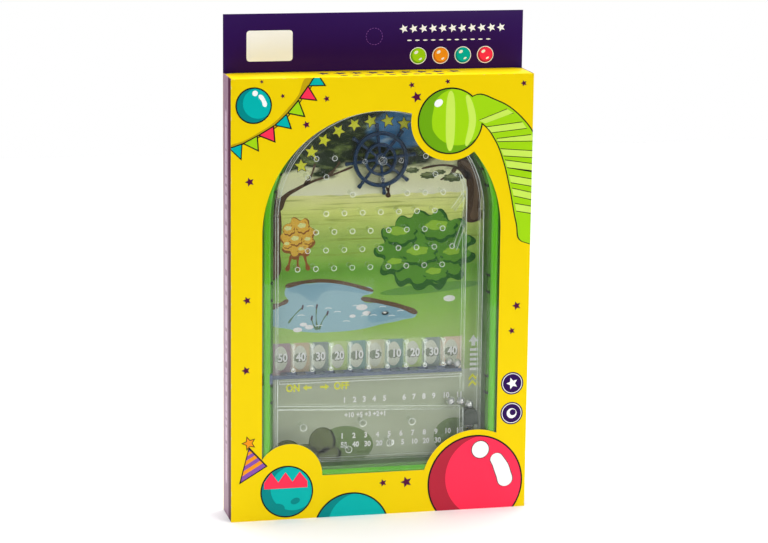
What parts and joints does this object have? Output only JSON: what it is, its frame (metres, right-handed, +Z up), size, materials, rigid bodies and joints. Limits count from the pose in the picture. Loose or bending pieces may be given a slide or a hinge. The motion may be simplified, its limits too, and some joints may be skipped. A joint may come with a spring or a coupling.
{
  "type": "tabletop pinball game",
  "caption": "Window carton with hanging header around an upright ball game: green tray, printed card, clear pinned cover, wheel, release bar, sprung plunger and steel balls.",
  "frame": {"origin": "middle of the carton's underside, in the plane it stands on", "axes": "+X to the player's right, +Y away from the player towards the carton's back, +Z up"},
  "size_m": [0.21, 0.032, 0.348],
  "materials": {
    "printed_board": "gloss printed folding carton board, yellow",
    "lilac_board": "gloss printed folding carton board, lilac",
    "purple_board": "gloss printed folding carton board, dark purple",
    "clear_film": "thin clear window film",
    "green_plastic": "gloss moulded green plastic",
    "clear_plastic": "clear moulded polystyrene",
    "printed_card": "printed playfield card",
    "navy_plastic": "moulded navy plastic",
    "slate_plastic": "moulded slate-blue plastic",
    "dark_plastic": "moulded dark grey-green plastic",
    "ball_steel": "polished steel balls",
    "spring_steel": "bright spring wire"
  },
  "bodies": {
    "boxed_game": {"carton_front": "printed_board", "carton_left_side": "lilac_board", "carton_right_side": "lilac_board", "carton_back": "printed_board", "carton_base": "printed_board", "dust_flap_left": "lilac_board", "dust_flap_right": "lilac_board", "carton_header": "purple_board", "window_film": "clear_film", "base_tray": "green_plastic", "playfield_card": "printed_card", "cover_plate": "clear_plastic", "cover_snaps": "clear_plastic", "left_wall": "clear_plastic", "right_wall": "clear_plastic", "arch_wall": "clear_plastic", "lower_wall": "clear_plastic", "lane_wall": "clear_plastic", "lane_deflectors": "clear_plastic", "plunger_channel_wall": "clear_plastic", "playfield_pins": "clear_plastic", "cover_bosses": "clear_plastic", "slider_ledges": "clear_plastic", "return_trough": "clear_plastic", "wheel_axle": "clear_plastic", "wheel_stub_posts": "clear_plastic", "pocket_divider_1": "clear_plastic", "pocket_divider_2": "clear_plastic", "pocket_divider_3": "clear_plastic", "pocket_divider_4": "clear_plastic", "pocket_divider_5": "clear_plastic", "pocket_divider_6": "clear_plastic", "pocket_divider_7": "clear_plastic", "pocket_divider_8": "clear_plastic", "pocket_divider_9": "clear_plastic"},
    "lid": {"carton_lid": "printed_board"},
    "spinner": {"spinner_wheel": "navy_plastic"},
    "slider": {"release_slider": "slate_plastic"},
    "plunger": {"plunger_rod": "dark_plastic", "plunger_knob": "dark_plastic", "plunger_spring": "spring_steel"},
    "lane_ball": {"lane_ball": "ball_steel"},
    "trough_ball_1": {"trough_ball_1": "ball_steel"},
    "trough_ball_2": {"trough_ball_2": "ball_steel"},
    "pocket_ball_1": {"pocket_ball_1": "ball_steel"},
    "pocket_ball_2": {"pocket_ball_2": "ball_steel"}
  },
  "joints": [
    {"name": "lid_hinge", "type": "hinge", "parent": "boxed_game", "child": "lid", "pos_m": [0, -0.0154, 0.308], "axis": [1, 0, 0], "range_deg": [0, 110]},
    {"name": "wheel_spin", "type": "hinge", "parent": "boxed_game", "child": "spinner", "pos_m": [0.0009, -0.003, 0.2492], "axis": [0, -1, 0], "continuous": true},
    {"name": "slider_shift", "type": "slide", "parent": "boxed_game", "child": "slider", "axis": [-1, 0, 0], "range_m": [0, 0.0066]},
    {"name": "plunger_pull", "type": "slide", "parent": "boxed_game", "child": "plunger", "axis": [0, 0, -1], "range_m": [0, 0.014], "stiffness_N_per_m": 60, "springref_m": -0.01, "deforming": ["plunger_spring"]},
    {"name": "lane_ball_roll", "type": "slide", "parent": "boxed_game", "child": "lane_ball", "axis": [0, 0, 1], "range_m": [0, 0.15]},
    {"name": "trough_ball_1_roll", "type": "slide", "parent": "boxed_game", "child": "trough_ball_1", "axis": [-0.9992, 0, 0.0409], "range_m": [0, 0.11]},
    {"name": "trough_ball_2_roll", "type": "slide", "parent": "boxed_game", "child": "trough_ball_2", "axis": [-0.9992, 0, 0.0409], "range_m": [0, 0.11]},
    {"name": "pocket_ball_1_roll", "type": "slide", "parent": "boxed_game", "child": "pocket_ball_1", "axis": [0, 0, 1], "range_m": [0, 0.015]},
    {"name": "pocket_ball_2_roll", "type": "slide", "parent": "boxed_game", "child": "pocket_ball_2", "axis": [0, 0, 1], "range_m": [0, 0.015]}
  ],
  "couplings": [
    {"joint": "trough_ball_2_roll", "follows": "trough_ball_1_roll", "ratio": 1}
  ]
}
